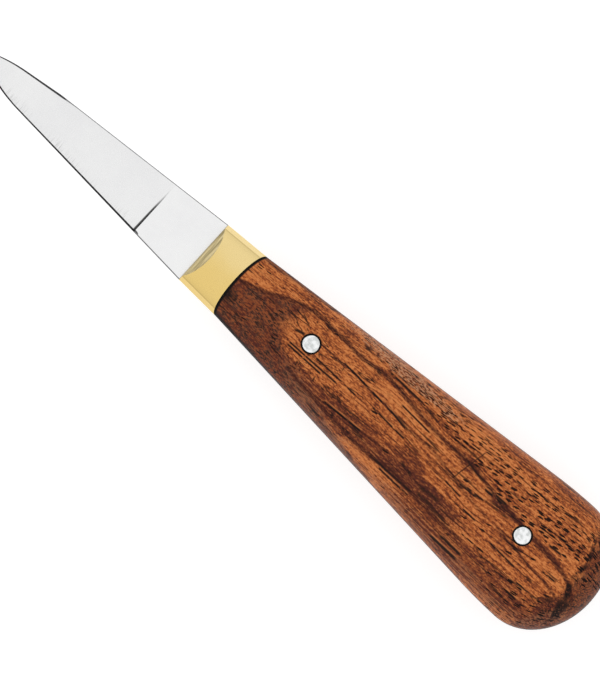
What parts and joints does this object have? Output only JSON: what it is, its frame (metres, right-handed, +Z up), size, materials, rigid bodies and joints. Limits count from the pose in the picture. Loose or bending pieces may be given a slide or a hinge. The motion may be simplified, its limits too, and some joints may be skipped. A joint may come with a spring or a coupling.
{
  "type": "hoof knife",
  "caption": "Short straight fixed-blade knife with a spear point, a brass bolster and a pear-shaped wooden handle riveted to a full tang.",
  "frame": {"origin": "under the middle of the knife's box, on the surface that the knife lies on", "axes": "+X from the butt to the point of the blade, +Y from the spine to the cutting edge, +Z up, from the right scale that it lies on to the left scale"},
  "size_m": [0.165, 0.0296, 0.0192],
  "materials": {
    "blade_steel": "satin ground",
    "bolster_brass": "polished",
    "spacer_fibre": "matte black fibre",
    "handle_wood": "oiled, satin",
    "rivet_steel": "ground flush"
  },
  "bodies": {
    "root": {"blade": "blade_steel", "left_bolster": "bolster_brass", "right_bolster": "bolster_brass", "spine_dowel": "bolster_brass", "edge_dowel": "bolster_brass", "left_spacer": "spacer_fibre", "right_spacer": "spacer_fibre", "left_scale": "handle_wood", "right_scale": "handle_wood", "front_rivet": "rivet_steel", "rear_rivet": "rivet_steel"}
  },
  "joints": []
}
